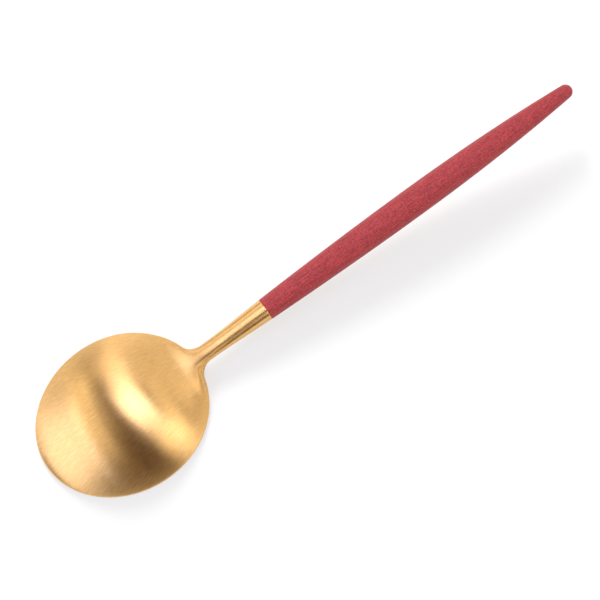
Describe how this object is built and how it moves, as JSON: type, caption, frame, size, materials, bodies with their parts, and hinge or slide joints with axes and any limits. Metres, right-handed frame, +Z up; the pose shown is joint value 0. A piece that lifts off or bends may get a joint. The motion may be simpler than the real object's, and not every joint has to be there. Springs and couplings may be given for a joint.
{
  "type": "table spoon",
  "caption": "Table spoon lying bowl-down: brushed gold steel bowl and slim neck in one piece, with a round tapered red wooden handle bonded over a hidden steel rod.",
  "frame": {"origin": "centre of the bounding box's bottom: under the middle of the spoon's length, on the plane that the rim rests on", "axes": "+X along the spoon from the bowl towards the handle's end, +Y across, +Z up with the bowl's rounded side on top"},
  "size_m": [0.2046, 0.0494, 0.0141],
  "materials": {
    "gold_steel": "stainless steel with a thin gold-coloured coating, brushed along the spoon",
    "rod_steel": "plain drawn stainless steel rod",
    "adhesive_resin": "cured two-part adhesive, pale amber",
    "red_wood": "fine-grained wood dyed red, sanded matt with a thin oil finish"
  },
  "bodies": {
    "root": {"bowl_head": "gold_steel", "tang_rod": "rod_steel", "adhesive": "adhesive_resin", "handle": "red_wood"}
  },
  "joints": []
}
